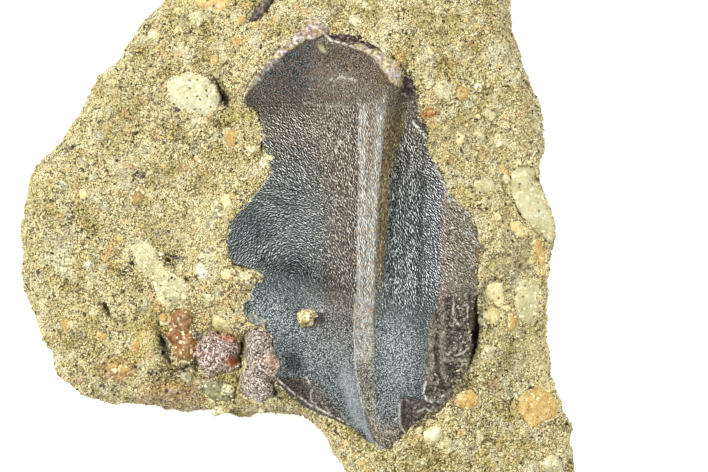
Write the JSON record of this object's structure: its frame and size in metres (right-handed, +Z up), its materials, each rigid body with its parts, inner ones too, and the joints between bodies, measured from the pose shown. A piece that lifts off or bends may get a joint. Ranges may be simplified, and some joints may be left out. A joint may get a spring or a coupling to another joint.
{
  "type": "fossil dinosaur tooth in matrix",
  "caption": "Fossil dinosaur tooth crown with a median ridge, lying face up in a loose slab of pale pebbly sandstone matrix.",
  "frame": {"origin": "centre of the stone's bounding rectangle, on the flat face that the stone rests on", "axes": "+Y along the tooth from its tip to its worn end, +Z up out of the face that shows the tooth, +X to the right of the crown seen from above"},
  "size_m": [0.0432, 0.0478, 0.0138],
  "materials": {
    "sandstone": "rough, sandy, pale yellow with dark, white and orange grains",
    "tooth_enamel": "satin blue-grey to brown fossil enamel with fine wrinkles",
    "speckled_cream_stone": "matt cream with dark specks",
    "pale_mudstone": "matt, chalky, off-white",
    "red_chert": "waxy red-brown, crusted with sand",
    "rusty_ironstone": "lumpy rust-brown iron oxide with glassy grains",
    "purple_ironstone": "lumpy purple-grey iron oxide with glassy grains",
    "orange_sandstone": "matt pale orange",
    "white_quartz": "waxy white",
    "yellow_stone": "matt pale yellow",
    "amber_chert": "waxy amber",
    "fossil_bone": "satin dark brown",
    "loose_sand": "rough, sandy"
  },
  "bodies": {
    "root": {"sandstone_matrix": "sandstone", "tooth": "tooth_enamel", "cream_pebble": "speckled_cream_stone", "pale_mudstone_pebble": "pale_mudstone", "red_chert_pebble": "red_chert", "rusty_nodule": "rusty_ironstone", "purple_nodule": "purple_ironstone", "rim_pebble": "pale_mudstone", "grey_rim_pebble": "pale_mudstone", "orange_clast": "orange_sandstone", "small_orange_clast": "orange_sandstone", "white_pebble": "white_quartz", "yellow_pebble": "yellow_stone", "small_yellow_pebble": "yellow_stone", "amber_chip": "amber_chert", "top_pebble": "yellow_stone", "corner_pebble": "pale_mudstone", "bone_splinter": "fossil_bone", "sand_crumb": "loose_sand"}
  },
  "joints": []
}
